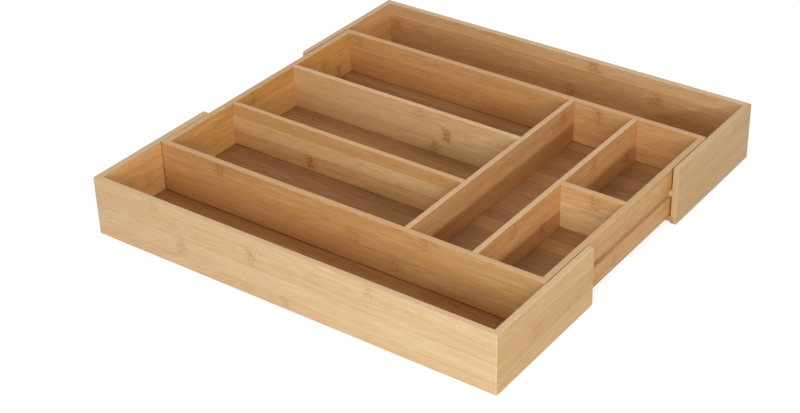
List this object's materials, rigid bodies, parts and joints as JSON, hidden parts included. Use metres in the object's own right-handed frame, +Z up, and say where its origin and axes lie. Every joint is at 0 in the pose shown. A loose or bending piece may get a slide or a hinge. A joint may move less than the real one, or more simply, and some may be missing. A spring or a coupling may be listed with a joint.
{
  "type": "cutlery tray",
  "caption": "Expandable bamboo cutlery tray for a drawer: a divided centre tray on tongue-and-groove slides between outer trays that pull out to add compartments.",
  "frame": {"origin": "middle of the underside, level with the lower edges of the outer trays, with the tray pulled out to its full width", "axes": "+X along the front wall towards the end with the small compartments, +Y from the front tray to the back tray along the slides, +Z up"},
  "size_m": [0.475, 0.495, 0.065],
  "materials": {
    "bamboo_wall": "satin lacquered laminated bamboo",
    "bamboo_divider": "satin lacquered laminated bamboo",
    "bamboo_floor": "satin lacquered bamboo strip panel",
    "bamboo_tongue": "plain sanded bamboo"
  },
  "bodies": {
    "centre_tray": {"left_end_wall": "bamboo_wall", "right_end_wall": "bamboo_wall", "front_side_wall": "bamboo_wall", "back_side_wall": "bamboo_wall", "centre_floor": "bamboo_floor", "long_divider_front": "bamboo_divider", "long_divider_back": "bamboo_divider", "cross_divider_inner": "bamboo_divider", "cross_divider_outer": "bamboo_divider", "short_divider": "bamboo_divider"},
    "front_tray": {"front_wall": "bamboo_wall", "front_left_arm": "bamboo_wall", "front_right_arm": "bamboo_wall", "front_floor": "bamboo_floor", "front_left_tongue": "bamboo_tongue", "front_right_tongue": "bamboo_tongue"},
    "back_tray": {"back_wall": "bamboo_wall", "back_left_arm": "bamboo_wall", "back_right_arm": "bamboo_wall", "back_floor": "bamboo_floor", "back_left_tongue": "bamboo_tongue", "back_right_tongue": "bamboo_tongue"}
  },
  "joints": [
    {"name": "front_slide", "type": "slide", "parent": "centre_tray", "child": "front_tray", "axis": [0, -1, 0], "range_m": [-0.0825, 0]},
    {"name": "back_slide", "type": "slide", "parent": "centre_tray", "child": "back_tray", "axis": [0, 1, 0], "range_m": [-0.0825, 0]}
  ]
}
